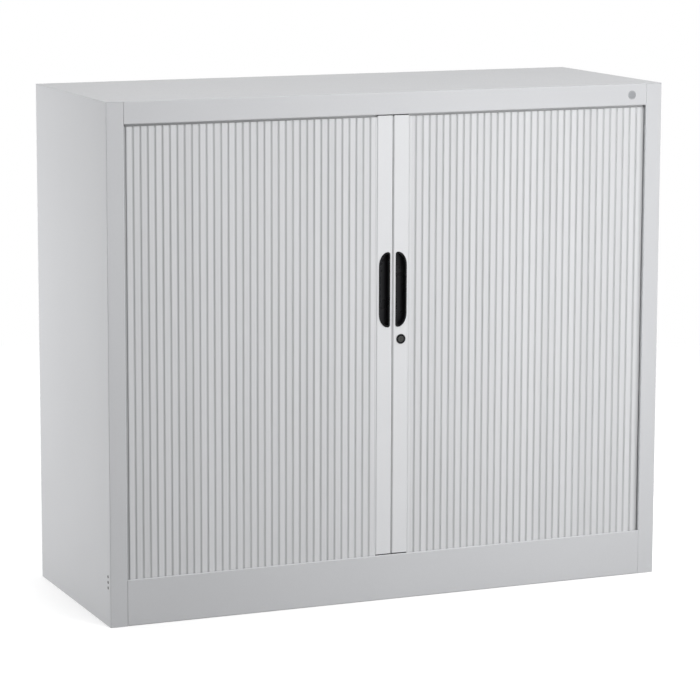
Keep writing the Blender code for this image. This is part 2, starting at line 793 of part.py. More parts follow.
def build_lock(right_door, lock_turn):
    """Lock housing with its ring nut, and the plug, hook cam and cam screw that turn in it."""
    face = LOCK_FACE - BAR_FRONT
    housing = [
        (LOCK_BORE_RADIUS, face),
        (LOCK_FLANGE_RADIUS - LOCK_FLANGE_CHAMFER, face),
        (LOCK_FLANGE_RADIUS, face + LOCK_FLANGE_CHAMFER),
        (LOCK_FLANGE_RADIUS, -CLEARANCE),
        (LOCK_BARREL_RADIUS, -CLEARANCE),
        (LOCK_BARREL_RADIUS, BARREL_END - BAR_FRONT),
        (LOCK_BORE_RADIUS, BARREL_END - BAR_FRONT),
    ]
    centre = (BAR_MIDDLE, BAR_FRONT, LOCK_Z)
    add_piece("lock_housing", faced_back(turned(housing, LOCK_SIDES, True), centre), "lock_black", right_door)

    nut_face = BAR_WALL + CLEARANCE
    nut_end = nut_face + RING_NUT_THICKNESS
    bore = clear_radius(LOCK_BARREL_RADIUS, LOCK_SIDES)
    nut = [(bore, nut_face), (RING_NUT_RADIUS, nut_face), (RING_NUT_RADIUS, nut_end), (bore, nut_end)]
    add_piece("lock_ring_nut", faced_back(turned(nut, LOCK_SIDES, True), centre), "zinc_steel", right_door)

    plug_radius = (LOCK_BORE_RADIUS - PLUG_RUNNING_GAP) * math.cos(math.pi / LOCK_SIDES)
    plug_face = face + PLUG_FACE_RECESS
    tail_end = TAIL_END - BAR_FRONT
    screw_depth = tail_end - SCREW_SHANK_LENGTH - CLEARANCE
    screw_bore = clear_radius(SCREW_SHANK_RADIUS, SCREW_SIDES)
    plug = [
        (plug_radius, plug_face),
        (plug_radius, BARREL_END - BAR_FRONT),
        (TAIL_RADIUS, BARREL_END - BAR_FRONT),
        (TAIL_RADIUS, tail_end),
    ]
    keyway = block(
        (-KEYWAY_WIDTH / 2, -KEYWAY_LENGTH / 2, plug_face - OVERRUN),
        (KEYWAY_WIDTH / 2, KEYWAY_LENGTH / 2, plug_face + KEYWAY_DEPTH),
    )
    thread = turned([(screw_bore, screw_depth), (screw_bore, tail_end + OVERRUN)], SCREW_SIDES)
    shape = carved(turned(plug, LOCK_SIDES), [keyway, thread])
    add_piece("lock_plug", faced_back(shape, centre), "nickel", lock_turn)
    add_piece("hook_cam", hook_cam(), "zinc_steel", lock_turn)

    head_seat = tail_end + CLEARANCE
    screw = [
        (SCREW_SHANK_RADIUS, head_seat - SCREW_SHANK_LENGTH),
        (SCREW_SHANK_RADIUS, head_seat),
        (SCREW_HEAD_RADIUS, head_seat),
        (SCREW_HEAD_RADIUS, head_seat + SCREW_HEAD_THICKNESS),
    ]
    add_piece("cam_screw", faced_back(turned(screw, SCREW_SIDES), centre), "zinc_steel", lock_turn)


def hook_cam():
    """Cam plate that hangs down when unlocked, with a nose that hooks behind the left bar's wall."""
    nose_start = CAM_REACH - CAM_NOSE_WIDTH
    outline = [
        (CAM_NECK_RISE, CAM_BACK),
        (-CAM_HALF_WIDTH, CAM_BACK),
        (-CAM_HALF_WIDTH, -CAM_REACH),
        (CAM_NOSE_RISE, -CAM_REACH),
        (CAM_NOSE_RISE, -nose_start),
        (CAM_NECK_RISE, -nose_start),
    ]
    places = [(BAR_MIDDLE - rise, LOCK_Z + reach) for rise, reach in outline]
    plate = prism(places, "Y", CAM_FRONT, CAM_REAR)
    radius = clear_radius(TAIL_RADIUS, LOCK_SIDES)
    hole = turned([(radius, -OVERRUN), (radius, CAM_THICKNESS + OVERRUN)], LOCK_SIDES)
    return carved(plate, [faced_back(hole, (BAR_MIDDLE, CAM_FRONT, LOCK_Z))])


def build_shelves():
    """Shelves folded down at front and rear, each on four clips hooked into the liners."""
    half = OPENING_HALF - SHEET - SHELF_SIDE_GAP
    front = FRONT + SHELF_FRONT_INSET
    rear = INNER_BACK_FRONT - SHELF_REAR_GAP
    for level, slot in SHELF_SLOTS.items():
        seat = SLOT_FIRST + slot * SLOT_PITCH
        low = seat + CLEARANCE
        top = low + SHEET
        skin = [
            (rear - SHELF_RETURN, top - SHELF_FLANGE),
            (rear, top - SHELF_FLANGE),
            (rear, top),
            (front, top),
            (front, top - SHELF_FLANGE),
            (front + SHELF_RETURN, top - SHELF_FLANGE),
        ]
        add_piece("shelf_" + level, prism(bent_sheet(skin), "X", -half, half), "inner_coat")
        for corner, (side, end) in CORNERS.items():
            shape = shelf_clip(seat, end * SLOT_Y)
            if side < 0:
                shape = mirrored(shape)
            add_piece("clip_" + level + "_" + corner, shape, "zinc_steel")


def shelf_clip(seat, middle):
    """Clip on the right liner: a ledge, a plate below it and a hook behind the slot."""
    inside = OPENING_HALF - SHEET - CLEARANCE
    behind = OPENING_HALF + CLEARANCE
    under = seat - CLIP_SHEET
    outline = [
        (inside - CLIP_LEDGE, seat),
        (behind + CLIP_SHEET, seat),
        (behind + CLIP_SHEET, seat - CLIP_HOOK),
        (behind, seat - CLIP_HOOK),
        (behind, under),
        (inside, under),
        (inside, seat - CLIP_PLATE),
        (inside - CLIP_SHEET, seat - CLIP_PLATE),
        (inside - CLIP_SHEET, under),
        (inside - CLIP_LEDGE, under),
    ]
    return prism(outline, "Y", middle - CLIP_WIDTH / 2, middle + CLIP_WIDTH / 2)


def build_foot(corner, side, end):
    """Levelling foot: a nut under the base pan, a pad that drops and a stud that turns in both."""
    place = (side * FOOT_X, end * FOOT_Y, 0)
    nut_top = PAN_TOP - SHEET - CLEARANCE
    radius = clear_radius(STUD_RADIUS, STUD_SIDES)
    nut = turned([(NUT_RADIUS, nut_top - NUT_HEIGHT), (NUT_RADIUS, nut_top)], NUT_SIDES)
    bore = turned([(radius, nut_top - NUT_HEIGHT - OVERRUN), (radius, nut_top + OVERRUN)], STUD_SIDES)
    add_piece("foot_nut_" + corner, moved(carved(nut, [bore]), place), "zinc_steel")

    drop = pivot("foot_drop_" + corner, place)
    sole = PAD_FLOOR_GAP + PAD_SOLE
    pad = [
        (radius, sole),
        (radius, PAD_FLOOR_GAP + PAD_HEIGHT),
        (PAD_NECK_RADIUS, PAD_FLOOR_GAP + PAD_HEIGHT),
        (PAD_RADIUS, PAD_FLOOR_GAP + PAD_EDGE),
        (PAD_RADIUS, PAD_FLOOR_GAP),
    ]
    add_piece("foot_pad_" + corner, moved(turned(pad, STUD_SIDES), place), "foot_plastic", drop)
    stud = [
        (STUD_RADIUS, sole + CLEARANCE),
        (STUD_RADIUS, STUD_TOP - STUD_CHAMFER),
        (STUD_RADIUS - STUD_CHAMFER, STUD_TOP),
    ]
    socket = [(SOCKET_RADIUS, STUD_TOP - SOCKET_DEPTH), (SOCKET_RADIUS, STUD_TOP + OVERRUN)]
    shape = carved(turned(stud, STUD_SIDES), [turned(socket, NUT_SIDES)])
    add_piece("foot_stud_" + corner, moved(shape, place), "zinc_steel", drop)


def build_cabinet():
    """Whole cabinet with closed doors, unlocked lock and raised feet."""
    clear_objects()
    left_door = pivot("left_door_slide", (-BAR_MIDDLE, BAR_FRONT, GRIP_Z))
    right_door = pivot("right_door_slide", (BAR_MIDDLE, BAR_FRONT, GRIP_Z))
    lock_turn = pivot("lock_turn", (BAR_MIDDLE, BAR_FRONT, LOCK_Z))
    doors = (left_door, right_door)
    build_side_panels()
    build_top_panel()
    build_badge()
    build_plinth()
    build_shell()
    build_liners()
    build_floor()
    build_tracks()
    build_shelves()
    for corner, (side, end) in CORNERS.items():
        build_foot(corner, side, end)
    build_curtains(doors)
    build_bars(left_door, right_door)
    build_grips(doors)
    build_guides(doors)
    build_buffer(left_door)
    build_lock(right_door, lock_turn)


build_cabinet()
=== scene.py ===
"""A tambour door cabinet: the finish of its sheets, its two slatted curtains, and the studio round it.

Metres, +Z up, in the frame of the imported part. The front faces -Y.
"""

import json
import math

import bmesh
import bpy
from mathutils import Matrix, Vector


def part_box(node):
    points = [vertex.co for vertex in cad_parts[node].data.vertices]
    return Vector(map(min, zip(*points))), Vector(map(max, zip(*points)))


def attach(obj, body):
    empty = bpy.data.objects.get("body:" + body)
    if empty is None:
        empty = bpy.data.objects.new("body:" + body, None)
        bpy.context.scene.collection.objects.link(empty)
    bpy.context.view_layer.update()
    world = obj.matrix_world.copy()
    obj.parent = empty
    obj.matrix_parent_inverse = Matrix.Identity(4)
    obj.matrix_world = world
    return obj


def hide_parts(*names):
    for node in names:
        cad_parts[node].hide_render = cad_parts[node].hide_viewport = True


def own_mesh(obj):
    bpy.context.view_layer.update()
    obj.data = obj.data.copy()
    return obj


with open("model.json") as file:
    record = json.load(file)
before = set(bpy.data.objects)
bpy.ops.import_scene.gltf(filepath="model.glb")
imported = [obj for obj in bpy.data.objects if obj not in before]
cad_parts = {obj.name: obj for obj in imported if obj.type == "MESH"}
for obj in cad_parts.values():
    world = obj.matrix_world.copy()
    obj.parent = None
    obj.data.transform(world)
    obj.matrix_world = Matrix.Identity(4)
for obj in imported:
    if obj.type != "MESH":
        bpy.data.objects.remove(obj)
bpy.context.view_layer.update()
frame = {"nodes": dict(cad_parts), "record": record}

MM = 0.001

# Camera, at the photograph's place
CAMERA_PLACE = (-2.398, -5.630, 1.540)
CAMERA_TURN = math.radians(22.41)
CAMERA_DIP = math.radians(9.19)
CAMERA_TILT = math.radians(-0.07)
CAMERA_LENS = 154.05
CAMERA_SENSOR = 36.0
CAMERA_SHIFT = (0.05, -0.05)
CAMERA_FAR = 400.0

# Curtains: runs are measured along the middle line of the right one, from the leading bar's edge
SLATS = 41
SLAT_PITCH = 15.0 * MM
SLAT_START = -0.7 * MM
CURTAIN_START = 35.2 * MM
CURTAIN_Y = 218.0 * MM
BEND_X = 554.0 * MM
BEND_RADIUS = 27.5 * MM
CURTAIN_LOW = 83.0 * MM
CURTAIN_HIGH = 995.5 * MM
FACE_HIGH = 981.0 * MM
MOVING_RUNS = (-0.2 * MM, 511.80 * MM)
FIXED_RUNS = (511.85 * MM, 614.0 * MM)
SMOOTH_ANGLE = math.radians(40)

# One slat's face from groove to groove, left to right: place across it, height, share of painted shade, which
# stands for the shade in the grooves and on their flanks
SLAT_FACE = [
    (0.60 * MM, 0.35 * MM, 1.0),
    (1.15 * MM, 0.85 * MM, 0.8),
    (1.70 * MM, 1.60 * MM, 0.5),
    (2.50 * MM, 2.05 * MM, 0.2),
    (3.60 * MM, 2.25 * MM, 0.0),
    (4.90 * MM, 2.30 * MM, 0.0),
    (6.40 * MM, 2.18 * MM, 0.08),
    (8.20 * MM, 2.10 * MM, 0.12),
    (10.00 * MM, 2.14 * MM, 0.0),
    (11.10 * MM, 2.00 * MM, 0.1),
    (12.20 * MM, 1.70 * MM, 0.3),
    (13.20 * MM, 1.20 * MM, 0.6),
    (13.90 * MM, 0.65 * MM, 0.8),
    (14.40 * MM, 0.35 * MM, 1.0),
]
# Its plain back, left to right: place across it, height
SLAT_BACK = [
    (0.80 * MM, -1.80 * MM),
    (1.30 * MM, -2.30 * MM),
    (13.70 * MM, -2.30 * MM),
    (14.20 * MM, -1.80 * MM),
]

# Its face at the thin top end, which runs in the upper track: place across it, height, share of painted
# shade, full here for the shade under the top rail
TOP_FACE = [(0.50 * MM, -0.90 * MM, 1.0), (14.50 * MM, -0.90 * MM, 1.0)]

# First slat's land against the leading bar
LAND_END = 3.0 * MM
LAND_HEIGHT = 2.9 * MM

# Last stretch beside the stile, painted in full shade; before it, painted shade on the right curtain's slats,
# which turn away from the lamps, and none on the left
CORNER_RUN = 524.3 * MM
CORNER_HEIGHT = 0.6 * MM
CORNER_PAINTED_SHADE = 0.9
LEE_RUN = 518.0 * MM
LEE_PAINTED_SHADE = {-1: 0.0, 1: 0.5}

# Each slat's own tone, a fixed scatter between 0 and 1
TONE_TURN = 12.9898
TONE_SPREAD = 43758.5453
TONE_SIDE = 3
TONE_START = 7

# Least step between two points of an outline
LEAST_STEP = 0.01 * MM

# Sockets of the colour mix node
MIX_INPUTS = (0, 6, 7)
MIX_RESULT = 2

# Edges, by the cosine between the rounded normal and the flat one
EDGE_SAMPLES = 4
FLAT_COSINE = 0.99
EDGE_COSINE = 0.86

# Span that holds most values of a noise
NOISE_SPAN = (0.3, 0.7)

# Powder coat. Tones are shares of its colour, and a range is from and to, then mapped from and to
COAT_BROAD_SCALE = 3.5
COAT_FINE_SCALE = 420.0
COAT_WEAR_AND_HIGHLIGHT_SCALE = 90.0
COAT_TONES = (0.965, 1.03)
COAT_SPECK_RANGE = (0.35, 0.65, 0.0, 0.05)
COAT_SPECK_TONE = 0.7
# Lighter edges, partly rubbed wear and partly a painted highlight on the folds: where along the noise, and
# their tone
COAT_WEAR_AND_HIGHLIGHT_RANGE = (0.4, 0.7, 0.1, 0.7)
COAT_WORN_AND_HIGHLIGHT_TONE = 1.12
COAT_EDGE_RADIUS = 1.1 * MM
COAT_ROUGHER = (-0.06, 0.08)
COAT_PEEL_STRENGTH = 0.10
COAT_PEEL_DEPTH = 0.15 * MM

# Slats, with die lines and clouds drawn out along them
SLAT_COLOUR = (0.660, 0.666, 0.680)
SLAT_LINE_STRETCH = (1.0, 1.0, 0.004)
SLAT_LINE_SCALE = 1700.0
SLAT_LINE_STRENGTH = 0.12
SLAT_LINE_DEPTH = 0.1 * MM
SLAT_CLOUD_STRETCH = (1.0, 1.0, 0.35)
SLAT_CLOUD_SCALE = 9.0
SLAT_TONES = (0.97, 1.03)
SLAT_DARKEST_TONE = 0.94
# Painted shade on the slats: its share, uneven with the clouds, and its tone
SLAT_PAINTED_SHADE_SHARES = (0.7, 1.0)
SLAT_PAINTED_SHADE_TONE = 0.62
SLAT_ROUGHNESS = 0.42
SLAT_ROUGHNESSES = (0.36, 0.50)

# Moulded plastic
MOULD_PATCH_SCALE = 45.0
MOULD_TONES = (0.85, 1.25)
MOULD_EDGE_RADIUS = 0.6 * MM
MOULD_WEAR_RANGE = (0.4, 0.65, 0.0, 0.5)
MOULD_WORN_TONE = 1.6
MOULD_WORN_LIFT = 0.01
MOULD_ROUGHER = (-0.05, 0.08)
MOULD_DEPTH = 0.1 * MM

# Brushed metal
BRUSH_CLOUD_SCALE = 60.0
BRUSH_TONES = (0.86, 1.08)
BRUSH_LINE_RANGE = (0.4, 0.8, 0.0, 0.35)
BRUSH_LINE_TONE = 0.6
BRUSH_ROUGHER = (-0.08, 0.12)
BRUSH_STRENGTH = 0.2
BRUSH_DEPTH = 0.05 * MM

# Zinc plate
ZINC_COLOUR = (0.60, 0.61, 0.60)
ZINC_COOL = (0.56, 0.58, 0.60)
ZINC_WARM = (0.64, 0.62, 0.56)
ZINC_ROUGHNESS = 0.36
ZINC_ROUGHNESS_RANGE = (0.1, 0.8, 0.28, 0.48)
ZINC_SPANGLE_SCALE = 700.0
ZINC_SPANGLE_RANGE = (0.2, 0.8, 0.0, 0.25)
ZINC_SPANGLE_TONE = 0.65
ZINC_CAST_SCALE = 80.0
ZINC_STRENGTH = 0.15
ZINC_DEPTH = 0.05 * MM


def material(name, colour, roughness, metallic=0.0):
    """New Principled material, with its node tree and shader."""
    made = bpy.data.materials.new(name)
    made.use_nodes = True
    made.diffuse_color = (*colour, 1.0)
    shader = made.node_tree.nodes["Principled BSDF"]
    shader.inputs["Base Color"].default_value = (*colour, 1.0)
    shader.inputs["Roughness"].default_value = roughness
    shader.inputs["Metallic"].default_value = metallic
    return made, made.node_tree, shader


def node(tree, kind, **inputs):
    """New node with its inputs set or linked by name; an operation or mode is set as an attribute."""
    made = tree.nodes.new(kind)
    for name, value in inputs.items():
        if name.islower():
            setattr(made, name, value)
    for name, value in inputs.items():
        if name.islower():
            continue
        socket = made.inputs[name.replace("_", " ")]
        if isinstance(value, bpy.types.NodeSocket):
            tree.links.new(value, socket)
        else:
            socket.default_value = value
    return made


def place(tree, stretch=(1.0, 1.0, 1.0)):
    """Place on the part, stretched along its axes."""
    coordinates = node(tree, "ShaderNodeTexCoord")
    mapping = node(tree, "ShaderNodeMapping", Vector=coordinates.outputs["Object"], Scale=stretch)
    return mapping.outputs["Vector"]


def noise(tree, where, scale, detail=2.0, roughness=0.5):
    """Noise value over a place."""
    made = node(tree, "ShaderNodeTexNoise", Vector=where, Scale=scale, Detail=detail, Roughness=roughness)
    return made.outputs["Fac"]


def ranged(tree, value, low, high, to_low, to_high):
    """Value mapped from one range to another, clamped."""
    names = {"Value": value, "From_Min": low, "From_Max": high, "To_Min": to_low, "To_Max": to_high}
    return node(tree, "ShaderNodeMapRange", **names).outputs["Result"]


def maths(tree, operation, *values):
    """Result of one sum on sockets or numbers."""
    made = tree.nodes.new("ShaderNodeMath")
    made.operation = operation
    for socket, value in zip(made.inputs, values):
        if isinstance(value, bpy.types.NodeSocket):
            tree.links.new(value, socket)
        else:
            socket.default_value = value
    return made.outputs["Value"]


def mixed(tree, share, first, second):
    """Colour between two colours."""
    made = tree.nodes.new("ShaderNodeMix")
    made.data_type = "RGBA"
    for socket, value in zip((made.inputs[k] for k in MIX_INPUTS), (share, first, second)):
        if isinstance(value, bpy.types.NodeSocket):
            tree.links.new(value, socket)
        else:
            socket.default_value = value if isinstance(value, float) else (*value, 1.0)
    return made.outputs[MIX_RESULT]


def scaled(colour, factor):
    """Colour made lighter or darker."""
    return tuple(channel * factor for channel in colour)


def between(tree, share, colour, tones):
    """Colour between two tones of one colour."""
    return mixed(tree, share, scaled(colour, tones[0]), scaled(colour, tones[1]))


def roughened(tree, value, roughness, rougher):
    """Roughness that follows a noise, from a little below the given one to a little above."""
    return ranged(tree, value, *NOISE_SPAN, roughness + rougher[0], roughness + rougher[1])


def painted(tree, shader, tone, rough):
    """Colour and roughness of a shader, from sockets."""
    tree.links.new(tone, shader.inputs["Base Color"])
    tree.links.new(rough, shader.inputs["Roughness"])


def bumped(tree, shader, height, strength, distance, rounded=None):
    """Surface relief from a height, over the surface itself or over its rounded edges."""
    made = node(tree, "ShaderNodeBump", Height=height, Strength=strength, Distance=distance)
    if rounded:
        tree.links.new(rounded, made.inputs["Normal"])
    tree.links.new(made.outputs["Normal"], shader.inputs["Normal"])


def edges(tree, radius):
    """Normal over rounded edges, and a share that is 1 on sharp edges and 0 on flats."""
    rounded = tree.nodes.new("ShaderNodeBevel")
    rounded.samples = EDGE_SAMPLES
    rounded.inputs["Radius"].default_value = radius
    flat = tree.nodes.new("ShaderNodeNewGeometry")
    product = tree.nodes.new("ShaderNodeVectorMath")
    product.operation = "DOT_PRODUCT"
    tree.links.new(rounded.outputs["Normal"], product.inputs[0])
    tree.links.new(flat.outputs["Normal"], product.inputs[1])
    share = ranged(tree, product.outputs["Value"], FLAT_COSINE, EDGE_COSINE, 0.0, 1.0)
    return rounded.outputs["Normal"], share


def powder_coat(name, colour, roughness, grain=1400.0, softened=False):
    """Fine powder coat on folded sheet: orange peel, faint unevenness, edges a little lighter, partly rubbed
    wear and partly a painted highlight.
    """
    made, tree, shader = material(name, colour, roughness)
    where = place(tree)
    broad = noise(tree, where, COAT_BROAD_SCALE, detail=3.0)
    fine = noise(tree, where, COAT_FINE_SCALE, roughness=0.6)
    tone = between(tree, broad, colour, COAT_TONES)
    speck = ranged(tree, fine, *COAT_SPECK_RANGE)
    tone = mixed(tree, speck, tone, scaled(colour, COAT_SPECK_TONE))
    # Edges a little lighter, partly rubbed wear and partly a painted highlight
    rounded, edge = edges(tree, COAT_EDGE_RADIUS)
    wear_and_highlight_patches = ranged(tree, noise(tree, where, COAT_WEAR_AND_HIGHLIGHT_SCALE), *COAT_WEAR_AND_HIGHLIGHT_RANGE)
    wear_and_highlight = maths(tree, "MULTIPLY", edge, wear_and_highlight_patches)
    tone = mixed(tree, wear_and_highlight, tone, scaled(colour, COAT_WORN_AND_HIGHLIGHT_TONE))
    painted(tree, shader, tone, roughened(tree, fine, roughness, COAT_ROUGHER))
    peel = noise(tree, where, grain, roughness=0.55)
    bumped(tree, shader, peel, COAT_PEEL_STRENGTH, COAT_PEEL_DEPTH, rounded if softened else None)
    return made


def slat_plastic():
    """Extruded slats: die lines along the slat, each slat a little lighter or darker than the next, and
    painted shade where the mesh holds a share of it.
    """
    made, tree, shader = material("dressed_slat_plastic", SLAT_COLOUR, SLAT_ROUGHNESS)
    lines = noise(tree, place(tree, SLAT_LINE_STRETCH), SLAT_LINE_SCALE, roughness=0.7)
    broad = noise(tree, place(tree, SLAT_CLOUD_STRETCH), SLAT_CLOUD_SCALE, detail=3.0)
    tone = between(tree, broad, SLAT_COLOUR, SLAT_TONES)
    own = node(tree, "ShaderNodeAttribute", attribute_name="slat_tone").outputs["Fac"]
    tone = mixed(tree, own, tone, scaled(SLAT_COLOUR, SLAT_DARKEST_TONE))
    # Painted shade in the grooves, beside the stiles and under the rail, from a share stored on the mesh
    painted_shade = node(tree, "ShaderNodeAttribute", attribute_name="painted_shade").outputs["Fac"]
    painted_shade_share = maths(tree, "MULTIPLY", painted_shade, ranged(tree, broad, *NOISE_SPAN, *SLAT_PAINTED_SHADE_SHARES))
    tone = mixed(tree, painted_shade_share, tone, scaled(SLAT_COLOUR, SLAT_PAINTED_SHADE_TONE))
    painted(tree, shader, tone, ranged(tree, lines, *NOISE_SPAN, *SLAT_ROUGHNESSES))
    bumped(tree, shader, lines, SLAT_LINE_STRENGTH, SLAT_LINE_DEPTH)
    return made


def moulded(name, colour, roughness, scale=900.0, strength=0.15, gloss=0.5):
    """Moulded plastic: fine spark-eroded texture with faint rubbed patches."""
    made, tree, shader = material(name, colour, roughness)
    shader.inputs["Specular IOR Level"].default_value = gloss
    where = place(tree)
    grain = noise(tree, where, scale, detail=3.0, roughness=0.6)
    patches = noise(tree, where, MOULD_PATCH_SCALE, detail=3.0)
    tone = between(tree, patches, colour, MOULD_TONES)
    rounded, edge = edges(tree, MOULD_EDGE_RADIUS)
    worn = maths(tree, "MULTIPLY", edge, ranged(tree, patches, *MOULD_WEAR_RANGE))
    lighter = tuple(channel * MOULD_WORN_TONE + MOULD_WORN_LIFT for channel in colour)
    tone = mixed(tree, worn, tone, lighter)
    painted(tree, shader, tone, roughened(tree, patches, roughness, MOULD_ROUGHER))
    bumped(tree, shader, grain, strength, MOULD_DEPTH, rounded)
    return made


def brushed(name, colour, roughness, stretch, scale=600.0):
    """Bare or plated metal with fine lines along one axis."""
    made, tree, shader = material(name, colour, roughness, metallic=1.0)
    lines = noise(tree, place(tree, stretch), scale, detail=3.0, roughness=0.65)
    cloud = noise(tree, place(tree), BRUSH_CLOUD_SCALE, detail=3.0)
    tone = between(tree, cloud, colour, BRUSH_TONES)
    tone = mixed(tree, ranged(tree, lines, *BRUSH_LINE_RANGE), tone, scaled(colour, BRUSH_LINE_TONE))
    painted(tree, shader, tone, roughened(tree, lines, roughness, BRUSH_ROUGHER))
    bumped(tree, shader, lines, BRUSH_STRENGTH, BRUSH_DEPTH)
    return made


def zinc():
    """Zinc plate: small spangles and a faint warm and cool cast."""
    made, tree, shader = material("dressed_zinc", ZINC_COLOUR, ZINC_ROUGHNESS, metallic=1.0)
    where = place(tree)
    cells = node(tree, "ShaderNodeTexVoronoi", Vector=where, Scale=ZINC_SPANGLE_SCALE)
    spangle = cells.outputs["Distance"]
    tone = mixed(tree, noise(tree, where, ZINC_CAST_SCALE), ZINC_COOL, ZINC_WARM)
    darker = scaled(ZINC_COLOUR, ZINC_SPANGLE_TONE)
    tone = mixed(tree, ranged(tree, spangle, *ZINC_SPANGLE_RANGE), tone, darker)
    painted(tree, shader, tone, ranged(tree, spangle, *ZINC_ROUGHNESS_RANGE))
    bumped(tree, shader, spangle, ZINC_STRENGTH, ZINC_DEPTH)
    return made


# Finish for each slot of the record: name, colour, roughness, and what differs from the usual
FINISHES = {
    "powder_coat": powder_coat("dressed_powder_coat", (0.562, 0.568, 0.583), 0.42),
    "inner_coat": powder_coat("dressed_inner_coat", (0.545, 0.551, 0.565), 0.48),
    "bar_coat": powder_coat(
        "dressed_bar_coat", (0.670, 0.676, 0.690), 0.40, grain=1800.0, softened=True
    ),
    "slat_plastic": slat_plastic(),
    "grip_plastic": moulded(
        "dressed_grip_plastic", (0.006, 0.006, 0.007), 0.28, scale=700.0, strength=0.06, gloss=0.20
    ),
    "lock_black": moulded(
        "dressed_lock_black", (0.008, 0.008, 0.009), 0.28, strength=0.1, gloss=0.20
    ),
    "foot_plastic": moulded("dressed_foot_plastic", (0.030, 0.030, 0.032), 0.50),
    "track_plastic": moulded("dressed_track_plastic", (0.36, 0.37, 0.38), 0.48),
    "buffer_rubber": moulded(
        "dressed_buffer_rubber", (0.42, 0.42, 0.43), 0.72, scale=1200.0, strength=0.3
    ),
    "nickel": brushed("dressed_nickel", (0.085, 0.085, 0.082), 0.30, stretch=(1.0, 1.0, 0.05)),
    "badge_metal": brushed("dressed_badge_metal", (0.42, 0.43, 0.45), 0.34, stretch=(0.04, 1.0, 1.0)),
    "zinc_steel": zinc(),
}

for part in frame["record"]["subparts"]:
    body = frame["nodes"][part["node"]]
    for holder in body.material_slots:
        holder.material = FINISHES[part["material_slot"]]


def finished(name, verts, faces, slot, body, *nodes, facts=None):
    """Piece from vertices and faces, smooth but for its edges, in one finish, riding on a body."""
    mesh = bpy.data.meshes.new(name)
    mesh.from_pydata(verts, [], faces)
    shape = bmesh.new()
    shape.from_mesh(mesh)
    bmesh.ops.recalc_face_normals(shape, faces=shape.faces)
    shape.to_mesh(mesh)
    shape.free()
    for word, values in (facts or {}).items():
        mesh.attributes.new(word, "FLOAT", "FACE").data.foreach_set("value", values)
    mesh.shade_smooth()
    mesh.set_sharp_from_angle(angle=SMOOTH_ANGLE)
    mesh.materials.append(FINISHES[slot])
    piece = bpy.data.objects.new(name, mesh)
    bpy.context.scene.collection.objects.link(piece)
    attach(piece, body)
    if nodes:
        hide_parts(*nodes)
    return piece


def curtain_point(run, height):
    """Place on a right-hand curtain's plan: run along its middle line and height off it, outwards."""
    straight = BEND_X - CURTAIN_START
    quarter = BEND_RADIUS * math.pi / 2
    if run <= straight:
        return CURTAIN_START + run, -CURTAIN_Y - height
    if run <= straight + quarter:
        angle = (run - straight) / BEND_RADIUS
        reach = BEND_RADIUS + height
        return BEND_X + reach * math.sin(angle), -CURTAIN_Y + BEND_RADIUS - reach * math.cos(angle)
    rest = run - straight - quarter
    return BEND_X + BEND_RADIUS + height, -CURTAIN_Y + BEND_RADIUS + rest


def slat_outlines(side):
    """Plan outlines of a curtain: faces, faces of the thin top ends, and backs; run, height, painted shade,
    slat.
    """
    profile = SLAT_FACE
    if side < 0:
        profile = [(SLAT_PITCH - across, height, painted_shade) for across, height, painted_shade in reversed(SLAT_FACE)]
    face, top, back = [], [], []
    for index in range(SLATS):
        start = SLAT_START + index * SLAT_PITCH
        for across, height, painted_shade in profile:
            run = start + across
            if run < LAND_END:
                height, painted_shade = LAND_HEIGHT, 0.0
            # Painted shade on the right curtain's slats near the stile, which turn away from the lamps, and
            # full painted shade on the last stretch beside it
            if run > LEE_RUN:
                painted_shade = max(painted_shade, LEE_PAINTED_SHADE[side])
            if run > CORNER_RUN:
                height, painted_shade = CORNER_HEIGHT, CORNER_PAINTED_SHADE
            face.append((run, height, painted_shade, index))
        top += [(start + across, height, painted_shade, index) for across, height, painted_shade in TOP_FACE]
        back += [(start + across, height, 0.0, index) for across, height in SLAT_BACK]
    return face, top, back


def cut(points, runs):
    """Part of an outline between two runs, with an end on each of them."""
    ends = []
    for run in runs:
        after = next((k for k, point in enumerate(points) if point[0] >= run), len(points) - 1)
        low, high = points[max(after - 1, 0)], points[after]
        share = min(max((run - low[0]) / max(high[0] - low[0], LEAST_STEP), 0.0), 1.0)
        height, painted_shade = (low[k] + (high[k] - low[k]) * share for k in (1, 2))
        ends.append((run, height, painted_shade, high[3]))
    return [ends[0]] + [point for point in points if runs[0] < point[0] < runs[1]] + [ends[1]]


def extruded(side, face, back, low, high):
    """Vertices, faces, painted shade and slat numbers of a plan outline drawn up between two heights."""
    outline = face + back[::-1]
    plan = [curtain_point(point[0], point[1]) for point in outline]
    size, split = len(plan), len(face)
    verts = [(side * x, y, z) for z in (low, high) for x, y in plan]
    faces, painted_shade, owner = [], [], []
    for index in range(size):
        after = (index + 1) % size
        faces.append((index, after, size + after, size + index))
        painted_shade.append((outline[index][2] + outline[after][2]) / 2)
        owner.append(outline[index][3])
    nearest = [min(range(split, size), key=lambda k: abs(outline[k][0] - point[0])) for point in face]
    for base in (0, size):
        for index in range(split - 1):
            behind = range(nearest[index + 1], nearest[index] + 1)
            faces.append(tuple(base + k for k in (index, index + 1, *behind)))
            painted_shade.append(0.0)
            owner.append(outline[index][3])
    return verts, faces, painted_shade, owner


def slat_tone(index, side):
    """One slat's own tone."""
    return (math.sin(TONE_TURN * (index + TONE_SIDE * side + TONE_START)) * TONE_SPREAD) % 1.0


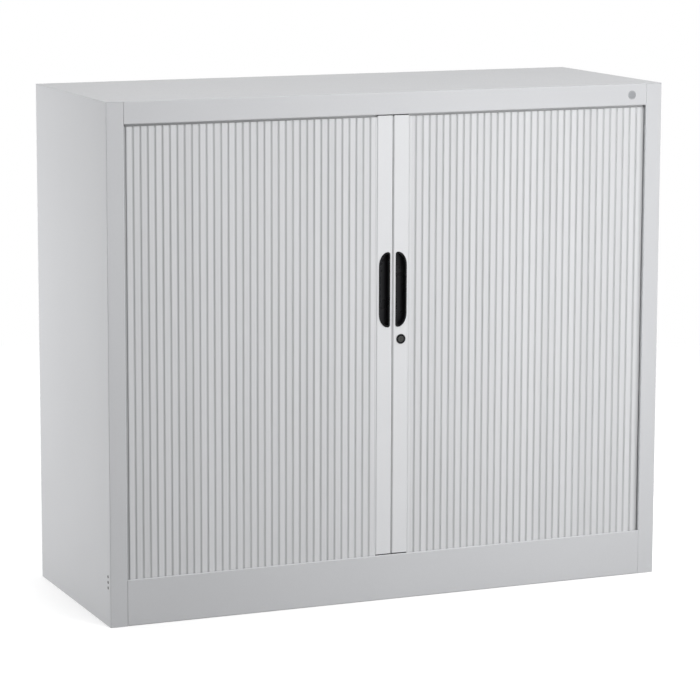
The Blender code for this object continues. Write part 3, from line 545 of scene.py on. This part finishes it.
def curtain_piece(name, side, runs, body, *nodes):
    """Slats of one curtain between two runs, thinned at their top; side is 1 on the right, -1 on the left."""
    face, top, back = (cut(points, runs) for points in slat_outlines(side))
    verts, faces, painted_shade, owner = [], [], [], []
    for front, low, high in ((face, CURTAIN_LOW, FACE_HIGH), (top, FACE_HIGH, CURTAIN_HIGH)):
        more = extruded(side, front, back, low, high)
        faces += [tuple(len(verts) + corner for corner in ring) for ring in more[1]]
        verts += more[0]
        painted_shade += more[2]
        owner += more[3]
    facts = {"slat_tone": [slat_tone(index, side) for index in owner], "painted_shade": painted_shade}
    return finished(name, verts, faces, "slat_plastic", body, *nodes, facts=facts)


for side, word in ((-1, "left"), (1, "right")):
    slats = curtain_piece("slats_" + word, side, MOVING_RUNS, word + "_door", "curtain_" + word)
    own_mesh(slats)
    curtain_piece("slats_corner_" + word, side, FIXED_RUNS, "carcase")


# Seal between the leading bars
SEAL_HALF = 1.1 * MM
SEAL_FRONT = -221.4 * MM
SEAL_REAR = -212.6 * MM
SEAL_STEPS = 8

# Beads of paint in the seams, and dark strips on the stiles' inner edges that stand in for the shade there,
# for the right half:
# x from and to, y from and to, z from and to
STILE_SEAM = (563.70 * MM, 564.00 * MM)
TOP_SEAM = (1028.70 * MM, 1029.00 * MM)
BEADS = [
    (*STILE_SEAM, -224.9 * MM, -223.2 * MM, 986.5 * MM, 1028.0 * MM),
    (*STILE_SEAM, -224.9 * MM, -223.2 * MM, 1.0 * MM, 92.0 * MM),
    (564.2 * MM, 599.0 * MM, -224.2 * MM, -222.8 * MM, *TOP_SEAM),
    (598.3 * MM, 599.5 * MM, -222.8 * MM, 222.5 * MM, *TOP_SEAM),
]
BEAD_HOLLOW = 0.05 * MM
STILE_SHADE_STRIPS = [(562.80 * MM, 563.95 * MM, -222.6 * MM, -219.6 * MM, 93.5 * MM, 985.0 * MM)]

# Weld marks low on the side panels
RIVET_Y = -211.0 * MM
RIVET_HEIGHTS = (77.6 * MM, 88.8 * MM, 100.0 * MM)
RIVET_RADIUS = 3.2 * MM
RIVET_RISE = 0.9 * MM
RIVET_STEPS = 6
RIVET_SIDES = 20

# Badge
BADGE_RIM = 1.3 * MM
BADGE_RISE = 0.5 * MM
BADGE_SIDES = 40


def prism_faces(start, size):
    """Walls and both ends of a closed solid between two rings of points."""
    faces = []
    for k in range(size):
        after = (k + 1) % size
        faces.append((start + k, start + after, start + size + after, start + size + k))
    faces.append(tuple(range(start, start + size)))
    faces.append(tuple(range(start + size, start + 2 * size)))
    return faces


def turned(profile, sides, lifted):
    """Vertices and faces of a closed solid turned from a profile of radius and rise, from rim to middle."""
    verts, faces = [], []
    for radius, rise in profile:
        for step in range(sides):
            angle = 2 * math.pi * step / sides
            verts.append(lifted(radius * math.cos(angle), radius * math.sin(angle), rise))
    for ring in range(len(profile) - 1):
        for step in range(sides):
            after = (step + 1) % sides
            first, second = ring * sides, (ring + 1) * sides
            faces.append((first + step, first + after, second + after, second + step))
    faces.append(tuple(range(sides))[::-1])
    faces.append(tuple(range((len(profile) - 1) * sides, len(profile) * sides)))
    return verts, faces


def seal_piece():
    """Soft seal of the left bar: a bulb with a rounded front, drawn up between the bars."""
    box_low, box_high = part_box("closing_buffer")
    plan = [(SEAL_HALF, SEAL_REAR), (-SEAL_HALF, SEAL_REAR)]
    for step in range(SEAL_STEPS + 1):
        angle = math.pi * step / SEAL_STEPS
        plan.append((-SEAL_HALF * math.cos(angle), SEAL_FRONT + SEAL_HALF * (1 - math.sin(angle))))
    verts = [(x, y, z) for z in (box_low[2], box_high[2]) for x, y in plan]
    faces = prism_faces(0, len(plan))
    finished("seal", verts, faces, "buffer_rubber", "left_door", "closing_buffer")


def strip_ring(u0, u1, v0, v1):
    """Cross-section of a strip, a little hollow along its outer face, which lies at v0."""
    hollow = math.copysign(BEAD_HOLLOW, v1 - v0)
    return [(u0, v0), ((u0 + u1) / 2, v0 + hollow), (u1, v0), (u1, v1), (u0, v1)]


def strip_ends(x0, x1, y0, y1, z0, z1):
    """Rings of points at both ends of a strip, which runs along the longest side of its box."""
    if z1 - z0 > max(y1 - y0, x1 - x0):
        ring = strip_ring(x0, x1, y0, y1)
        return [[(x, y, z) for x, y in ring] for z in (z0, z1)]
    if x1 - x0 > y1 - y0:
        ring = strip_ring(z0, z1, y0, y1)
        return [[(x, y, z) for z, y in ring] for x in (x0, x1)]
    ring = strip_ring(z0, z1, x1, x0)
    return [[(x, y, z) for z, x in ring] for y in (y0, y1)]


def strip_piece(name, strips, slot):
    """Fine strips on both halves of the carcase."""
    verts, faces = [], []
    for side in (-1, 1):
        for strip in strips:
            ends = strip_ends(*strip)
            faces += prism_faces(len(verts), len(ends[0]))
            verts += [(side * x, y, z) for end in ends for x, y, z in end]
    finished(name, verts, faces, slot, "carcase")


def rivet_piece():
    """Three low dark heads near the front edge of each side panel."""
    verts, faces = [], []
    half_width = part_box("side_panel_right")[1][0]
    profile = []
    for step in range(RIVET_STEPS):
        angle = math.pi / 2 * step / RIVET_STEPS
        profile.append((RIVET_RADIUS * math.cos(angle), RIVET_RISE * math.sin(angle)))
    for side in (-1, 1):
        for height in RIVET_HEIGHTS:
            def lifted(u, v, rise):
                return side * (half_width + rise), RIVET_Y + u, height + v

            more, rings = turned(profile, RIVET_SIDES, lifted)
            faces += [tuple(len(verts) + corner for corner in ring) for ring in rings]
            verts += more
    finished("panel_rivets", verts, faces, "nickel", "carcase")


def badge_piece():
    """Blank round badge: a dished disc with a raised rim."""
    low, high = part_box("badge_disc")
    middle_x = (low[0] + high[0]) / 2
    middle_z = (low[2] + high[2]) / 2
    radius = (high[0] - low[0]) / 2
    profile = [
        (radius, high[1] - low[1]),
        (radius, 0.0),
        (radius - BADGE_RIM / 3, -BADGE_RISE),
        (radius - 2 * BADGE_RIM / 3, -BADGE_RISE),
        (radius - BADGE_RIM, 0.0),
        (radius / 3, BADGE_RISE / 3),
    ]

    def lifted(u, v, rise):
        return middle_x + u, low[1] + rise, middle_z + v

    verts, faces = turned(profile, BADGE_SIDES, lifted)
    finished("badge", verts, faces, "badge_metal", "carcase", "badge_disc")


seal_piece()
strip_piece("seam_beads", BEADS, "powder_coat")
# Dark grey strips on the stiles' inner edges, painted shade where the curtain turns in behind them
strip_piece("stile_shade_strips", STILE_SHADE_STRIPS, "track_plastic")
rivet_piece()
badge_piece()


# Studio
WHITE = (1.0, 1.0, 1.0, 1.0)
WORLD_LEVEL = 0.20

# Floor: what lights the cabinet from below, and what is seen of it, white from FLOOR_FAR on
FLOOR_HALF = 60.0
FLOOR_DROP = 0.3 * MM
FLOOR_COLOUR = (0.16, 0.16, 0.16)
FLOOR_ROUGHNESS = 0.9
FLOOR_SEEN_COLOUR = (0.6, 0.6, 0.6, 1.0)
FLOOR_SEEN_LIFT = 0.5
FLOOR_NEAR = 1.2
FLOOR_FAR = 3.0

# Lamps: place, point that it is turned to, size, power
LAMPS = {
    "front": ((0.7, -1.7, 0.62), (0.2, -0.2, 0.55), 0.9, 14.5),
    "front_high": ((0.3, -2.4, 3.0), (0.0, -0.2, 0.7), 1.8, 65.0),
    "left": ((-1.9, 0.7, 0.70), (-0.6, 0.1, 0.6), 0.9, 18.0),
    "front_left": ((-3.8, -1.8, 1.3), (-0.6, 0.0, 0.5), 2.0, 20.0),
    "overhead": ((0.0, 0.2, 3.6), (0.0, 0.0, 1.0), 2.4, 9.0),
    "right": ((3.4, 0.5, 1.2), (0.6, 0.0, 0.5), 2.0, 70.0),
    "rear": ((0.3, 3.6, 1.2), (0.0, 0.2, 0.5), 2.0, 70.0),
}


def seen(tree):
    """1 for what is seen, mirrored or seen through a clear surface, and 0 for what only lights."""
    rays = tree.nodes.new("ShaderNodeLightPath")
    share = maths(tree, "MAXIMUM", rays.outputs["Is Camera Ray"], rays.outputs["Is Glossy Ray"])
    return maths(tree, "MAXIMUM", share, rays.outputs["Is Transmission Ray"])


def lit_world():
    """Even pale surroundings, white to the eye and to reflections."""
    world = bpy.data.worlds.new("studio")
    bpy.context.scene.world = world
    world.use_nodes = True
    tree = world.node_tree
    background = tree.nodes["Background"]
    background.inputs["Color"].default_value = WHITE
    level = ranged(tree, seen(tree), 0.0, 1.0, WORLD_LEVEL, 1.0)
    tree.links.new(level, background.inputs["Strength"])


def area_light(name, where, aim, size, power):
    """Soft square lamp turned to a point. Surfaces mirror the white surroundings and not the lamp."""
    lamp = bpy.data.lights.new(name, "AREA")
    lamp.size = size
    lamp.energy = power
    holder = bpy.data.objects.new(name, lamp)
    holder.location = where
    holder.rotation_mode = "QUATERNION"
    holder.rotation_quaternion = (Vector(aim) - Vector(where)).to_track_quat("-Z", "Y")
    holder.visible_camera = False
    holder.visible_glossy = False
    bpy.context.scene.collection.objects.link(holder)


def joined(tree, kind, *values):
    """Output of a shader node whose inputs are linked in order."""
    made = tree.nodes.new(kind)
    for socket, value in zip(made.inputs, values):
        tree.links.new(value, socket)
    return made.outputs[0]


def studio_floor():
    """Plain pale floor, which keeps the shadow near the cabinet and is white further off."""
    mesh = bpy.data.meshes.new("floor")
    corners = ((-1, -1), (1, -1), (1, 1), (-1, 1))
    verts = [(FLOOR_HALF * x, FLOOR_HALF * y, -FLOOR_DROP) for x, y in corners]
    mesh.from_pydata(verts, [], [(0, 1, 2, 3)])
    made, tree, shader = material("studio_floor", FLOOR_COLOUR, FLOOR_ROUGHNESS)
    shader.inputs["Specular IOR Level"].default_value = 0.0
    white = node(tree, "ShaderNodeEmission", Color=WHITE, Strength=1.0)
    pale = node(tree, "ShaderNodeBsdfDiffuse", Color=FLOOR_SEEN_COLOUR)
    lift = node(tree, "ShaderNodeEmission", Color=WHITE, Strength=FLOOR_SEEN_LIFT)
    near = joined(tree, "ShaderNodeAddShader", pale.outputs[0], lift.outputs[0])
    away = node(tree, "ShaderNodeVectorMath", operation="LENGTH")
    tree.links.new(node(tree, "ShaderNodeTexCoord").outputs["Object"], away.inputs[0])
    far = ranged(tree, away.outputs["Value"], FLOOR_NEAR, FLOOR_FAR, 0.0, 1.0)
    ground = joined(tree, "ShaderNodeMixShader", far, near, white.outputs[0])
    whole = joined(tree, "ShaderNodeMixShader", seen(tree), shader.outputs[0], ground)
    tree.links.new(whole, tree.nodes["Material Output"].inputs["Surface"])
    mesh.materials.append(made)
    floor = bpy.data.objects.new("floor", mesh)
    bpy.context.scene.collection.objects.link(floor)


def place_camera():
    """Camera at the photograph's place and angle."""
    dip, turn = CAMERA_DIP, CAMERA_TURN
    forward = Vector((math.sin(turn) * math.cos(dip), math.cos(turn) * math.cos(dip), -math.sin(dip)))
    right = Vector((math.cos(turn), -math.sin(turn), 0.0))
    down = forward.cross(right)
    cosine, sine = math.cos(CAMERA_TILT), math.sin(CAMERA_TILT)
    across = cosine * right + sine * down
    up = sine * right - cosine * down
    camera = bpy.data.cameras.new("camera")
    camera.lens = CAMERA_LENS
    camera.sensor_width = CAMERA_SENSOR
    camera.shift_x, camera.shift_y = CAMERA_SHIFT
    camera.clip_end = CAMERA_FAR
    holder = bpy.data.objects.new("camera", camera)
    holder.rotation_mode = "QUATERNION"
    holder.rotation_quaternion = Matrix((across, up, -forward)).transposed().to_quaternion()
    holder.location = CAMERA_PLACE
    bpy.context.scene.collection.objects.link(holder)
    bpy.context.scene.camera = holder


lit_world()
studio_floor()
for name, setting in LAMPS.items():
    area_light(name, *setting)
place_camera()
bpy.context.scene.view_settings.view_transform = "Standard"
